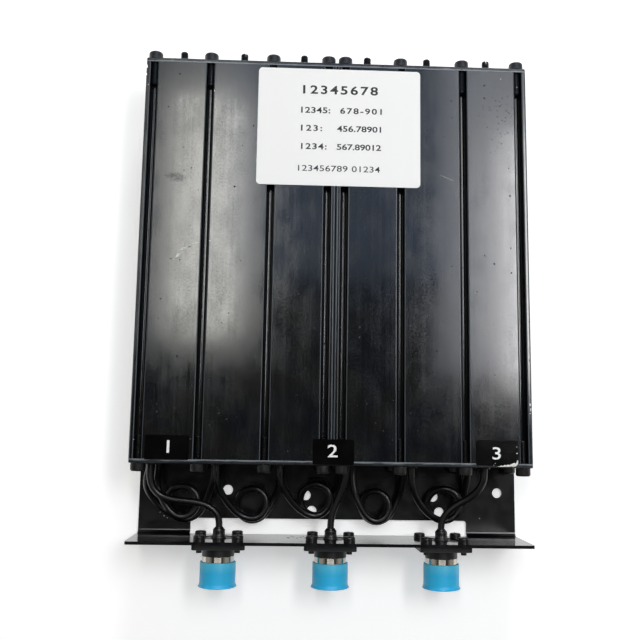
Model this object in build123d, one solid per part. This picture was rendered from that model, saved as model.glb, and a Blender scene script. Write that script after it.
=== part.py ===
from build123d import *
import math
import os

# All sizes are in mm. +X is to the right, +Y towards the tuning screws, +Z out of the front face.
# Z = 0 is the underside of the mounting bracket, on which the unit lies.

# Body
body_width = 194.0
body_length = 203.0
body_depth = 34.5
body_slit = 0.4
end_plate = 2.0
plate_corner = 1.0
plate_chamfer = 0.3
outer_corner = 0.8

# Cavities, which share the width that the walls leave
cavities_per_half = 3
side_wall = 1.5
cavity_wall = 1.6
cavity_corner = 1.0
face_wall = 1.8

# Screw grooves in the front and rear faces
groove_radius = 1.9
groove_centre_depth = 3.6
groove_edge_margin = 4.1
groove_mouth_round = 0.5
boss_wall = 1.25

# Nick in the front lip of the left half, beside the tuning end
nick_width = 0.9
nick_depth = 3.5
nick_stretches = ((3.0, 5.6), (8.0, 9.5))

# End plate screws
cap_head_radius = 3.5
cap_head_height = 4.0
cap_head_round = 0.4
cap_socket = 3.0
cap_socket_depth = 2.0
plate_screw_length = 12.0
plate_screw_tip = 1.0
plate_screw_play = 0.3
rim_notch = 0.7
notched_screw = 4

# Tuning screws, plungers and lock nuts
tuner_radius = 1.95
tuner_stand = 11.3
tuner_slot = 0.8
tuner_slot_depth = 2.0
tuner_chamfer = 0.3
tuner_thread_below_plate = 7.5
neck_radius = 1.3
neck_length = 1.5
button_length = 2.0
run_play = 0.05
end_play = 0.2
plunger_radius = 3.5
plunger_length = 14.0
slot_angles = (82.0, 28.0, 95.0, 35.0, 74.0, 3.0)
nut_across = 7.0
nut_height = 3.2

# Resonator rods
rod_radius = 5.0
rod_end_gap = 13.0
rod_bore_radius = 4.0
rod_bore_depth = 25.0

# Countersunk and pan head screws
small_radius = 1.4
small_hole_play = 0.2
sunk_head_radius = 2.8
sunk_head_height = 1.4
rod_screw_length = 10.0
bracket_screw_length = 5.0
bracket_screw_inset = 32.0
drive_width = 0.7
drive_span = 3.0
drive_depth = 0.8
pan_head_radius = 2.8
pan_head_height = 2.2
pan_head_round = 0.8
connector_screw_length = 6.0

# Mounting bracket
sheet = 1.5
bracket_top_inset = 5.0
flange_reach = 36.1
flange_height = 36.7
bend_radius = 2.0
bracket_corner = 1.5
window_left_margin = 26.5
window_right_margin = 25.5
window_edge = -28.7
window_height = 4.0
window_corner = 1.5
bracket_hole_radius = 2.5
edge_hole_inset = 9.2
bracket_holes = (
    (-51.8, -14.4), (body_width / 2 - edge_hole_inset, -14.4), (-11.7, -16.7),
    (54.3, -16.7), (-8.6, -24.5), (57.4, -24.5),
)

# Coaxial connectors and their dust caps
connector_x = (-54.4, 0.4, 55.2)
connector_turns = (4.0, -3.0, 1.5)
square_side = 25.4
square_thick = 3.0
square_corner = 1.0
square_hole_offset = 9.13
boss_radius = 8.0
boss_recess = 0.3
boss_play = 0.4
barrel_radius = 7.94
barrel_length = 16.7
barrel_chamfer = 0.5
mouth_radius = 4.3
mouth_depth = 5.5
core_radius = 3.5
insulator_setback = 2.0
pin_radius = 1.5
pin_bore_radius = 0.85
pin_bore_depth = 5.0
pin_setback = 2.6
cap_play = 0.1
cap_wall = 0.73
cap_reach = 10.3
cap_floor = 1.7
cap_seat_gap = 0.3
cap_rim_radius = 9.4
cap_rim_height = 1.0
cap_round = 0.3

# Cable boots
boot_base_radius = 3.6
boot_base_height = 1.2
boot_radius = 3.0
boot_body_height = 2.9
boot_end_radius = 2.1
boot_cone_height = 1.3

# Feed bushes of each cavity: distance from the cavity's left wall, height above the bracket's underside
bush_insets = (
    ((5.3, 15.0), (7.0, 23.5), (8.8, 10.0)),
    ((5.7, 13.0), (7.5, 23.0)),
    ((6.9, 11.8), (6.8, 23.0)),
    ((3.4, 11.8), (6.1, 22.5), (10.0, 11.5)),
    ((3.8, 11.8), (6.3, 23.0)),
    ((5.2, 11.8), (10.1, 26.0)),
)
bush_neck_radius = 2.4
bush_rim_radius = 2.9
bush_rim = 1.0
wire_radius = 0.6

# Coupling loops
strip_width = 3.0
strip_thick = 0.8
strip_inset = 3.6
link_width = 1.6
link_gap = 1.0
loop_height = 43.0
loop_front_gap = 7.9

# Label and port tags on the front face: centre x, distance above the connector end, width, height
label_inset = 34.4
label_place = (1.2, body_length - label_inset, 82.4, 61.4)
label_thick = 0.3
label_corner = 2.0
left_tag_inset = 18.1
right_tag_inset = 17.6
tag_places = (
    (left_tag_inset - body_width / 2, 7.5, 21.0, 11.6),
    (0.4, 6.4, 19.8, 12.0),
    (body_width / 2 - right_tag_inset, 7.1, 20.4, 12.2),
)
tag_thick = 0.25
tag_corner = 0.8

# Cables, which leave their bushes and boots squarely
cable_radius = 1.7
cable_exit = 3.0
bend_share = 0.45

# For finding edges by their place, and for cuts that run out past a face
near = 0.01
overshoot = 1.0

# Places worked out from the sizes above
connector_end = -(body_length + tuner_stand - flange_reach - sheet - square_thick - barrel_length
                  - cap_seat_gap - cap_floor) / 2
tuning_end = connector_end + body_length
back_face = sheet
front_face = sheet + body_depth
axis_height = sheet + body_depth / 2
half_width = (body_width - body_slit) / 2
half_centre = (body_slit + half_width) / 2
cavity_width = (half_width - 2 * side_wall - (cavities_per_half - 1) * cavity_wall) / cavities_per_half
cavity_pitch = cavity_width + cavity_wall
groove_offsets = (
    groove_edge_margin - half_width / 2,
    -cavity_pitch / 2,
    cavity_pitch / 2,
    half_width / 2 - groove_edge_margin,
)
half_centres = (-half_centre, half_centre)
groove_x = [centre + offset for centre in half_centres for offset in groove_offsets]
groove_heights = (front_face - groove_centre_depth, back_face + groove_centre_depth)
cavity_offsets = [cavity_pitch * (i - (cavities_per_half - 1) / 2) for i in range(cavities_per_half)]
cavity_x = [centre + offset for centre in half_centres for offset in cavity_offsets]
bush_places = [
    [(x - cavity_width / 2 + inset, height) for inset, height in insets]
    for x, insets in zip(cavity_x, bush_insets)
]
inner_floor = connector_end + end_plate
inner_roof = tuning_end - end_plate
flange_inner = connector_end - flange_reach
flange_outer = flange_inner - sheet
square_outer = flange_outer - square_thick
barrel_end = square_outer - barrel_length
boss_face = flange_inner - boss_recess
boot_top = boss_face + boot_base_height + boot_body_height + boot_cone_height
bush_face = connector_end - bush_rim


def box(x0, x1, y0, y1, z0, z1):
    centre = ((x0 + x1) / 2, (y0 + y1) / 2, (z0 + z1) / 2)
    return Pos(*centre) * Box(x1 - x0, y1 - y0, z1 - z0)


def cylinder(radius, y0, y1, x=0.0, z=0.0):
    """A cylinder along Y."""
    return Pos(x, (y0 + y1) / 2, z) * Rot(-90, 0, 0) * Cylinder(radius, y1 - y0)


def cone(radius0, radius1, y0, y1, x=0.0, z=0.0):
    """A cone along Y, with radius0 at y0."""
    return Pos(x, (y0 + y1) / 2, z) * Rot(-90, 0, 0) * Cone(radius0, radius1, y1 - y0)


def prism(sketch, y0, y1):
    """A sketch drawn in X and Z, extruded from y1 down to y0."""
    plane = Plane(origin=(0, y1, 0), x_dir=(1, 0, 0), z_dir=(0, -1, 0))
    return extrude(plane * sketch, amount=y1 - y0)


def slab(sketch, z0, z1):
    """A sketch drawn in X and Y, extruded upwards."""
    return extrude(Pos(0, 0, z0) * sketch, amount=z1 - z0)


def hexagon(across):
    return RegularPolygon(across / math.sqrt(3), 6)


def groove_cut(x, height, face, outward):
    """Round-bottomed groove with its mouth at a face."""
    beyond = face + outward * groove_radius
    mouth = Pos(x, (height + beyond) / 2) * Rectangle(2 * groove_radius, abs(beyond - height))
    return Pos(x, height) * Circle(groove_radius) + mouth


def extrusion_section(centre):
    outline = Pos(centre, axis_height) * RectangleRounded(half_width, body_depth, outer_corner)
    section = outline
    for offset in cavity_offsets:
        hollow = RectangleRounded(cavity_width, body_depth - 2 * face_wall, cavity_corner)
        section -= Pos(centre + offset, axis_height) * hollow
    for offset in groove_offsets:
        for height in groove_heights:
            section += outline & (Pos(centre + offset, height) * Circle(groove_radius + boss_wall))
    for offset in groove_offsets:
        for height, face, outward in zip(groove_heights, (front_face, back_face), (1, -1)):
            section -= groove_cut(centre + offset, height, face, outward)
    return section


def mouth_edges(section, centre):
    """Corners of the section where a groove opens in a face."""
    found = []
    for corner in section.vertices():
        on_face = min(abs(corner.Y - front_face), abs(corner.Y - back_face)) < near
        nearest = min(abs(abs(corner.X - centre - offset) - groove_radius) for offset in groove_offsets)
        if on_face and nearest < near:
            found.append(corner)
    return found


def extrusion(centre):
    section = extrusion_section(centre)
    section = fillet(mouth_edges(section, centre), groove_mouth_round)
    return prism(section, inner_floor, inner_roof)


def left_extrusion():
    body = extrusion(half_centres[0])
    edge = -body_width / 2
    for start, end in nick_stretches:
        body -= box(edge - overshoot, edge + nick_width, tuning_end - end, tuning_end - start,
                    front_face - nick_depth, front_face + overshoot)
    return body


def plate_blank(y0, y1, outer_face):
    outline = Pos(0, axis_height) * RectangleRounded(body_width, body_depth, plate_corner)
    blank = prism(outline, y0, y1)
    rim = [edge for edge in blank.edges() if abs(edge.center().Y - outer_face) < near]
    return chamfer(rim, plate_chamfer)


def plate_screw_holes(y0, y1):
    return [cylinder(groove_radius + plate_screw_play, y0, y1, x, z) for x in groove_x for z in groove_heights]


def tuning_end_plate():
    plate = plate_blank(inner_roof, tuning_end, tuning_end)
    plate -= plate_screw_holes(inner_roof, tuning_end)
    plate -= [cylinder(tuner_radius + run_play, inner_roof, tuning_end, x, axis_height) for x in cavity_x]
    return plate


def sunk_cut(x):
    hole = cylinder(small_radius + small_hole_play, connector_end, inner_floor, x, axis_height)
    seat = cone(sunk_head_radius, small_radius, connector_end, connector_end + sunk_head_height, x, axis_height)
    return hole + seat


def connector_end_plate():
    plate = plate_blank(connector_end, inner_floor, connector_end)
    plate -= plate_screw_holes(connector_end, inner_floor)
    plate -= [sunk_cut(x) for x in cavity_x]
    for places in bush_places:
        plate -= [cylinder(bush_neck_radius, connector_end, inner_floor, x, z) for x, z in places]
    return plate


def cap_screw(x, z, face, outward, notched):
    """Socket head screw whose head stands out of an end plate."""
    head = cylinder(cap_head_radius, 0, cap_head_height)
    crown = [edge for edge in head.edges() if edge.center().Y > cap_head_height - near]
    head = fillet(crown, cap_head_round)
    head -= prism(hexagon(cap_socket), cap_head_height - cap_socket_depth, cap_head_height)
    if notched:
        head -= Pos(0, cap_head_height, cap_head_radius) * Box(2 * rim_notch, rim_notch, rim_notch)
    shank = cylinder(groove_radius, -plate_screw_length, 0)
    tip = cone(plate_screw_tip, groove_radius, -plate_screw_length - plate_screw_tip, -plate_screw_length)
    screw = head + shank + tip
    if outward < 0:
        screw = Rot(0, 0, 180) * screw
    return Pos(x, face, z) * screw


def plate_screws(face, outward, notched_index):
    screws = []
    for height in groove_heights:
        for x in groove_x:
            screws.append(cap_screw(x, height, face, outward, len(screws) == notched_index))
    return Compound(children=screws)


def tuning_screw(x, angle):
    tip = tuning_end + tuner_stand
    thread_end = inner_roof - tuner_thread_below_plate
    neck_end = thread_end - neck_length
    screw = cylinder(tuner_radius, thread_end, tip)
    ends = [edge for edge in screw.edges() if abs(edge.center().Y - tip) < near]
    screw = chamfer(ends, tuner_chamfer)
    slot = box(-tuner_slot / 2, tuner_slot / 2, tip - tuner_slot_depth, tip, -tuner_radius, tuner_radius)
    screw -= Rot(0, angle, 0) * slot
    screw += cylinder(neck_radius, neck_end, thread_end)
    screw += cylinder(tuner_radius, neck_end - button_length, neck_end)
    return Pos(x, 0, axis_height) * screw


def tuning_plunger(x):
    """Plunger closed round the neck of its screw, so that the screw turns in it and carries it."""
    top = inner_roof - tuner_thread_below_plate - end_play
    lip = inner_roof - tuner_thread_below_plate - neck_length + run_play
    chamber = lip - button_length - 2 * run_play
    plunger = cylinder(plunger_radius, top - plunger_length, top)
    plunger -= cylinder(neck_radius + run_play, lip, top)
    plunger -= cylinder(tuner_radius + run_play, chamber, lip)
    return Pos(x, 0, axis_height) * plunger


def lock_nut(x):
    nut = prism(hexagon(nut_across), tuning_end, tuning_end + nut_height)
    nut -= cylinder(tuner_radius + run_play, tuning_end, tuning_end + nut_height)
    return Pos(x, 0, axis_height) * nut


def resonator_rod(x):
    top = inner_roof - rod_end_gap
    rod = cylinder(rod_radius, inner_floor, top)
    rod -= cylinder(rod_bore_radius, top - rod_bore_depth, top)
    rod -= cylinder(small_radius, inner_floor, connector_end + rod_screw_length)
    return Pos(x, 0, axis_height) * rod


def cross_drive():
    """Cross recess cut down from Z = 0."""
    arm = Box(drive_span, drive_width, drive_depth)
    return Pos(0, 0, -drive_depth / 2) * (arm + Rot(0, 0, 90) * arm)


def sunk_screw(length):
    """Countersunk screw with its head at Z = 0 and its shank downwards."""
    head = Pos(0, 0, -sunk_head_height / 2) * Cone(small_radius, sunk_head_radius, sunk_head_height)
    shank = Pos(0, 0, -length / 2) * Cylinder(small_radius, length)
    return head + shank - cross_drive()


def pan_screw(length):
    """Pan head screw seated at Z = 0 with its shank downwards."""
    head = Pos(0, 0, pan_head_height / 2) * Cylinder(pan_head_radius, pan_head_height)
    crown = [edge for edge in head.edges() if edge.center().Z > pan_head_height - near]
    head = fillet(crown, pan_head_round)
    shank = Pos(0, 0, -length / 2) * Cylinder(small_radius, length)
    return head + shank - Pos(0, 0, pan_head_height) * cross_drive()


def rod_screw(x):
    return Pos(x, connector_end, axis_height) * Rot(90, 0, 0) * sunk_screw(rod_screw_length)


def bracket_screw_places():
    outer = (cavity_x[0], cavity_x[cavities_per_half - 1], cavity_x[cavities_per_half], cavity_x[-1])
    rows = (connector_end + bracket_screw_inset, tuning_end - bracket_screw_inset)
    return [(x, y) for y in rows for x in outer]


def bracket_screws():
    upright = Rot(180, 0, 0) * sunk_screw(bracket_screw_length)
    return Compound(children=[Pos(x, y, 0) * upright for x, y in bracket_screw_places()])


def with_bracket_holes(body):
    for x, y in bracket_screw_places():
        body -= Pos(x, y, back_face + face_wall / 2) * Cylinder(small_radius, face_wall)
    return body


def connector_screw_places():
    """Centres of the four screws of each connector, which sits slightly turned."""
    places = []
    for centre, turn in zip(connector_x, connector_turns):
        for side, lift in ((-1, -1), (-1, 1), (1, -1), (1, 1)):
            corner = Vector(side * square_hole_offset, 0, lift * square_hole_offset)
            corner = corner.rotate(Axis.Y, turn)
            places.append((centre + corner.X, axis_height + corner.Z))
    return places


def mounting_bracket():
    right = body_width / 2
    back = box(-right, right, flange_outer, tuning_end - bracket_top_inset, 0, sheet)
    flange = box(-right, right, flange_outer, flange_inner, 0, flange_height)
    bracket = back + flange
    inside = [e for e in bracket.edges().filter_by(Axis.X)
              if abs(e.center().Y - flange_inner) < near and abs(e.center().Z - sheet) < near]
    bracket = fillet(inside, bend_radius)
    outside = [e for e in bracket.edges().filter_by(Axis.X)
               if abs(e.center().Y - flange_outer) < near and abs(e.center().Z) < near]
    bracket = fillet(outside, bend_radius + sheet)
    top = tuning_end - bracket_top_inset
    corners = [e for e in bracket.edges().filter_by(Axis.Z) if abs(e.center().Y - top) < near]
    corners += [e for e in bracket.edges().filter_by(Axis.Y) if abs(e.center().Z - flange_height) < near]
    bracket = fillet(corners, bracket_corner)
    edge = connector_end + window_edge
    window = box(window_left_margin - right, right - window_right_margin, flange_outer - overshoot, edge,
                 -overshoot, window_height)
    upper = [e for e in window.edges().filter_by(Axis.Z) if abs(e.center().Y - edge) < near]
    bracket -= fillet(upper, window_corner)
    for x, y in bracket_holes:
        bracket -= Pos(x, connector_end + y, sheet / 2) * Cylinder(bracket_hole_radius, sheet)
    for x in connector_x:
        bracket -= cylinder(boss_radius + boss_play, flange_outer, flange_inner, x, axis_height)
    for x, z in connector_screw_places():
        bracket -= cylinder(small_radius + small_hole_play, flange_outer, flange_inner, x, z)
    for x, y in bracket_screw_places():
        bracket -= Pos(x, y, sheet / 2) * Cylinder(small_radius + small_hole_play, sheet)
        seat = Cone(sunk_head_radius, small_radius, sunk_head_height)
        bracket -= Pos(x, y, sunk_head_height / 2) * seat
    return bracket


def feed_bush(x, z):
    bush = cylinder(bush_neck_radius, connector_end, inner_floor, x, z)
    bush += cylinder(bush_rim_radius, bush_face, connector_end, x, z)
    bush -= cylinder(wire_radius, bush_face, inner_floor, x, z)
    return bush


def coupling_loop(cavity_centre, places):
    """Wires from the bushes of one cavity, joined by a comb, with a strip loop up to the front side."""
    link_y = inner_floor + link_gap
    loop_top = inner_floor + loop_height
    left = cavity_centre - cavity_width / 2 + strip_inset - strip_width / 2
    right = left + strip_width
    lowest = min(height for _, height in places) - link_width / 2
    highest = max(height for _, height in places) + link_width / 2
    loop = box(left, right, link_y, link_y + strip_thick, lowest, highest)
    for x, height in places:
        loop += cylinder(wire_radius, bush_face, link_y + strip_thick, x, height)
        loop += box(min(left, x - link_width / 2), max(right, x + link_width / 2), link_y, link_y + strip_thick,
                    height - link_width / 2, height + link_width / 2)
    half = strip_thick / 2
    leave_z = places[0][1]
    return_z = front_face - loop_front_gap
    loop += box(left, right, link_y, loop_top, leave_z - half, leave_z + half)
    loop += box(left, right, loop_top - strip_thick, loop_top, leave_z - half, return_z + half)
    loop += box(left, right, inner_floor, loop_top, return_z - half, return_z + half)
    return loop


def connector(x, turn):
    square = RectangleRounded(square_side, square_side, square_corner)
    body = prism(square, square_outer, flange_outer)
    body += cylinder(boss_radius, flange_outer, boss_face)
    barrel = cylinder(barrel_radius, barrel_end, square_outer)
    mouth = [edge for edge in barrel.edges() if abs(edge.center().Y - barrel_end) < near]
    body += chamfer(mouth, barrel_chamfer)
    body -= cylinder(mouth_radius, barrel_end, barrel_end + mouth_depth)
    body -= cylinder(core_radius, barrel_end, boss_face)
    for side in (-1, 1):
        for lift in (-1, 1):
            body -= cylinder(small_radius, square_outer, flange_outer,
                             side * square_hole_offset, lift * square_hole_offset)
    return Pos(x, 0, axis_height) * Rot(0, turn, 0) * body


def connector_insulator(x):
    end = barrel_end + mouth_depth + insulator_setback
    ring = cylinder(core_radius, end, boss_face, x, axis_height)
    return ring - cylinder(pin_radius, end, boss_face, x, axis_height)


def contact_pin(x):
    end = barrel_end + pin_setback
    pin = cylinder(pin_radius, end, boss_face, x, axis_height)
    return pin - cylinder(pin_bore_radius, end, end + pin_bore_depth, x, axis_height)


def connector_screw(x, z):
    return Pos(x, flange_inner, z) * Rot(-90, 0, 0) * pan_screw(connector_screw_length)


def cable_boot(x):
    base_top = boss_face + boot_base_height
    body_top = base_top + boot_body_height
    boot = cylinder(boot_base_radius, boss_face, base_top, x, axis_height)
    boot += cylinder(boot_radius, base_top, body_top, x, axis_height)
    boot += cone(boot_radius, boot_end_radius, body_top, boot_top, x, axis_height)
    return boot


def dust_cap(x):
    inner = barrel_radius + cap_play
    floor = barrel_end - cap_seat_gap
    end = floor - cap_floor
    cap = cylinder(inner + cap_wall, end, floor + cap_reach)
    cap += cylinder(cap_rim_radius, end, end + cap_rim_height)
    rims = [edge for edge in cap.edges() if abs(edge.center().Y - end) < near]
    cap = fillet(rims, cap_round)
    cap -= cylinder(inner, floor, floor + cap_reach)
    return Pos(x, 0, axis_height) * cap


def sticker(place, corner, thick):
    x, up, width, height = place
    return slab(Pos(x, connector_end + up) * RectangleRounded(width, height, corner), front_face, front_face + thick)


# Cable routes: x, distance above the connector end plate, height above the bracket's underside
lead_1_route = (
    (-55.6, -24.5, 19.2), (-58.9, -21.5, 19.7), (-64.2, -19.4, 20.2), (-71.0, -18.6, 20.7),
    (-77.8, -18.0, 21.2), (-83.7, -16.0, 21.8), (-87.2, -12.1, 22.5), (-88.4, -7.8, 23.2),
)
lead_2_route = (
    (1.4, -22.9, 19.1), (4.1, -16.8, 19.8), (6.5, -10.3, 21.0),
)
lead_3_route = (
    (57.5, -23.2, 19.3), (62.6, -18.9, 20.3), (68.6, -15.7, 21.8), (73.1, -11.5, 23.8),
    (75.1, -7.3, 25.3),
)
stub_route = (
    (-91.8, -8.3, 13.2), (-92.2, -13.2, 9.6), (-90.2, -17.9, 6.2), (-86.7, -22.0, 4.1),
    (-82.7, -25.3, 3.4), (-79.2, -27.1, 3.4),
)
loop_1_route = (
    (-86.6, -9.3, 12.2), (-85.1, -14.7, 14.4), (-82.0, -20.8, 14.9), (-77.9, -25.7, 14.6),
    (-73.3, -27.2, 14.5), (-68.5, -25.5, 14.5), (-65.6, -21.1, 14.5), (-66.0, -15.9, 14.5),
    (-69.4, -12.6, 14.0), (-74.3, -11.7, 12.2), (-79.3, -13.8, 9.3), (-82.4, -18.7, 7.8),
    (-81.3, -24.1, 7.6), (-77.1, -28.0, 7.6), (-71.0, -29.0, 7.6), (-65.3, -25.9, 7.7),
    (-61.9, -19.0, 8.4), (-59.4, -12.0, 10.7), (-58.2, -7.4, 12.4),
)
loop_2_route = (
    (-56.0, -8.6, 21.2), (-54.4, -14.2, 17.2), (-50.5, -20.8, 13.4), (-44.4, -26.6, 11.1),
    (-37.6, -28.2, 10.5), (-32.7, -25.0, 10.5), (-31.2, -19.3, 10.5), (-33.9, -14.2, 10.3),
    (-39.1, -12.6, 9.1), (-44.5, -15.2, 6.6), (-47.4, -20.7, 4.7), (-45.9, -26.2, 4.1),
    (-41.0, -29.7, 4.0), (-35.0, -28.8, 4.0), (-30.4, -23.9, 4.0), (-27.5, -17.8, 4.3),
    (-25.7, -12.0, 6.6), (-25.1, -7.4, 10.0),
)
loop_3_route = (
    (-24.8, -8.4, 21.4), (-22.8, -13.5, 17.8), (-19.0, -18.9, 14.2), (-14.0, -23.7, 11.8),
    (-7.9, -26.7, 10.7), (-1.9, -24.5, 10.5), (1.2, -18.2, 10.5), (-0.7, -12.4, 10.3),
    (-6.8, -9.8, 9.2), (-12.9, -12.7, 6.8), (-14.9, -18.7, 4.8), (-12.8, -24.3, 4.1),
    (-7.4, -27.0, 4.0), (-1.3, -25.0, 4.0), (2.7, -19.2, 4.1), (4.5, -13.0, 5.4),
    (5.0, -7.8, 9.0),
)
loop_4_route = (
    (11.9, -9.0, 11.8), (12.9, -14.9, 12.0), (15.4, -21.0, 11.6), (18.9, -26.4, 10.9),
    (23.9, -28.9, 10.5), (28.9, -26.6, 10.5), (30.9, -20.7, 10.5), (28.5, -15.3, 10.1),
    (23.2, -13.2, 8.3), (18.0, -16.0, 5.4), (16.1, -21.8, 4.2), (18.8, -27.5, 4.0),
    (24.5, -30.1, 4.0), (30.3, -27.7, 4.0), (34.2, -21.6, 4.2), (36.4, -14.9, 5.4),
    (37.2, -8.5, 8.9),
)
loop_5_route = (
    (40.2, -8.6, 21.4), (41.9, -13.9, 17.8), (45.3, -19.3, 14.3), (49.9, -24.2, 11.9),
    (55.0, -27.5, 10.7), (60.4, -27.9, 10.5), (65.2, -24.4, 10.5), (66.8, -18.7, 10.5),
    (64.2, -13.4, 10.2), (58.1, -11.4, 9.0), (52.3, -14.4, 6.3), (49.8, -20.4, 4.5),
    (52.3, -26.0, 4.0), (57.8, -28.9, 4.0), (64.3, -27.1, 4.0), (68.5, -20.8, 4.1),
    (70.1, -14.2, 5.6), (70.5, -8.0, 9.1),
)


def boot_end(index):
    x = connector_x[index]
    start = boot_top - connector_end
    return (x, start, axis_height), (x, start + cable_exit, axis_height)


def bush_start(cavity, place):
    x, z = bush_places[cavity][place]
    return (x, -bush_rim, z), (x, -bush_rim - cable_exit, z)


def bush_end(cavity, place):
    return bush_start(cavity, place)[::-1]


cable_routes = {
    "lead_1": (*boot_end(0), *lead_1_route, *bush_end(0, 1)),
    "lead_2": (*boot_end(1), *lead_2_route, *bush_end(3, 1)),
    "lead_3": (*boot_end(2), *lead_3_route, *bush_end(5, 1)),
    "stub_cable": (*bush_start(0, 0), *stub_route),
    "loop_cable_1": (*bush_start(0, 2), *loop_1_route, *bush_end(1, 0)),
    "loop_cable_2": (*bush_start(1, 1), *loop_2_route, *bush_end(2, 0)),
    "loop_cable_3": (*bush_start(2, 1), *loop_3_route, *bush_end(3, 0)),
    "loop_cable_4": (*bush_start(3, 2), *loop_4_route, *bush_end(4, 0)),
    "loop_cable_5": (*bush_start(4, 1), *loop_5_route, *bush_end(5, 0)),
}


def bend_radii(points):
    """For each corner, the arc that takes the named share of its shorter run."""
    radii = []
    for before, corner, after in zip(points, points[1:], points[2:]):
        incoming = corner - before
        outgoing = after - corner
        turn = math.radians(incoming.get_angle(outgoing))
        radii.append(bend_share * min(incoming.length, outgoing.length) / math.tan(turn / 2))
    return radii


def cable(name):
    points = [Vector(x, connector_end + y, z) for x, y, z in cable_routes[name]]
    radii = bend_radii(points)
    path = FilletPolyline(*points, radius=radii)
    tube = sweep(Plane(origin=path @ 0, z_dir=path % 0) * Circle(cable_radius), path)
    expected = math.pi * cable_radius ** 2 * path.length
    print(f"{name}: {path.length:.1f} mm long, smallest bend {min(radii):.1f} mm,"
          f" volume {tube.volume / expected:.4f} of section times length")
    return tube


parts = {
    "left_extrusion": with_bracket_holes(left_extrusion()),
    "right_extrusion": with_bracket_holes(extrusion(half_centres[1])),
    "tuning_end_plate": tuning_end_plate(),
    "connector_end_plate": connector_end_plate(),
    "tuning_end_screws": plate_screws(tuning_end, 1, notched_screw - 1),
    "connector_end_screws": plate_screws(connector_end, -1, None),
    "mounting_bracket": mounting_bracket(),
    "bracket_screws": bracket_screws(),
    "feed_bushes": Compound(children=[feed_bush(x, z) for places in bush_places for x, z in places]),
    "rod_screws": Compound(children=[rod_screw(x) for x in cavity_x]),
    "lock_nuts": Compound(children=[lock_nut(x) for x in cavity_x]),
    "connector_insulators": Compound(children=[connector_insulator(x) for x in connector_x]),
    "contact_pins": Compound(children=[contact_pin(x) for x in connector_x]),
    "connector_screws": Compound(children=[connector_screw(x, z) for x, z in connector_screw_places()]),
    "label": sticker(label_place, label_corner, label_thick),
}
for number, x in enumerate(cavity_x, 1):
    parts[f"resonator_rod_{number}"] = resonator_rod(x)
    parts[f"tuning_screw_{number}"] = tuning_screw(x, slot_angles[number - 1])
    parts[f"tuning_plunger_{number}"] = tuning_plunger(x)
    parts[f"coupling_loop_{number}"] = coupling_loop(x, bush_places[number - 1])
for number, (x, turn) in enumerate(zip(connector_x, connector_turns), 1):
    parts[f"connector_{number}"] = connector(x, turn)
    parts[f"cable_boot_{number}"] = cable_boot(x)
    parts[f"dust_cap_{number}"] = dust_cap(x)
    parts[f"port_tag_{number}"] = sticker(tag_places[number - 1], tag_corner, tag_thick)
for name in cable_routes:
    parts[name] = cable(name)

os.makedirs("parts", exist_ok=True)
for name, shape in parts.items():
    shape.label = name
    export_step(shape, f"parts/{name}.step")
print(f"{len(parts)} parts, connector end plate at Y {connector_end:.2f}")
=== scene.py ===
import bmesh
import bpy
import math
import random
from mathutils import Euler, Matrix, Vector


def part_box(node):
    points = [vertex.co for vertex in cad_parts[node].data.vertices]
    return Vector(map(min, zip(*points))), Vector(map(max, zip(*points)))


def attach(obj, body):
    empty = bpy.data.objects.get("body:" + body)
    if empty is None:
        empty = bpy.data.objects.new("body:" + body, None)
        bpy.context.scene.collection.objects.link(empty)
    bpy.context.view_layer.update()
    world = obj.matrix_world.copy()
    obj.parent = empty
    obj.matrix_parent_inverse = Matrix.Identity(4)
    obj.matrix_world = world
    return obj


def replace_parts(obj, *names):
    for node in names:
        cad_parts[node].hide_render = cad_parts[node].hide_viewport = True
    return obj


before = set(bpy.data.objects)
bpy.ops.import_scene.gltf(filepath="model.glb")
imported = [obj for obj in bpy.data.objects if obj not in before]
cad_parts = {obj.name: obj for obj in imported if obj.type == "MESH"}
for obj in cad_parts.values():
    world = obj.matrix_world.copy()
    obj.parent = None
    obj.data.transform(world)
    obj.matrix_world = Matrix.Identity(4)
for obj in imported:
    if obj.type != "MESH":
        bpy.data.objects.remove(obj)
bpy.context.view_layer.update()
mm = 0.001
scene = bpy.context.scene
scene.view_settings.view_transform = "Standard"

# Faces and centre lines that the pieces are placed from, read from the frame
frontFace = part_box("left_extrusion")[1].z
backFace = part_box("left_extrusion")[0].z
axisHeight = (frontFace + backFace) / 2
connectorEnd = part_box("connector_end_plate")[0].y
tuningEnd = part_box("tuning_end_plate")[1].y
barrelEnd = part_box("connector_1")[0].y
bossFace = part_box("connector_1")[1].y
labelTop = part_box("label")[1].z
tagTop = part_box("port_tag_1")[1].z


def middleX(node):
    low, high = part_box(node)
    return (low.x + high.x) / 2


everyCavity = range(1, 7)
cavityX = [middleX(f"tuning_screw_{number}") for number in everyCavity]
portX = [middleX(f"dust_cap_{number}") for number in range(1, 4)]
print("frame read")


# Meshes and pieces

hardAngle = 38


def smoothed(mesh):
    # smooth shading, with a hard edge wherever two faces meet at more than the angle
    mesh.shade_smooth()
    bm = bmesh.new()
    bm.from_mesh(mesh)
    for edge in bm.edges:
        edge.smooth = edge.calc_face_angle(0) < math.radians(hardAngle)
    bm.to_mesh(mesh)
    bm.free()
    return mesh


def meshFrom(bm, name):
    mesh = bpy.data.meshes.new(name)
    bm.to_mesh(mesh)
    bm.free()
    return mesh


def bridge(bm, lower, upper):
    # one band of faces between two loops of vertices
    for i in range(len(lower)):
        j = (i + 1) % len(lower)
        bm.faces.new((lower[i], lower[j], upper[j], upper[i]))


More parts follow.
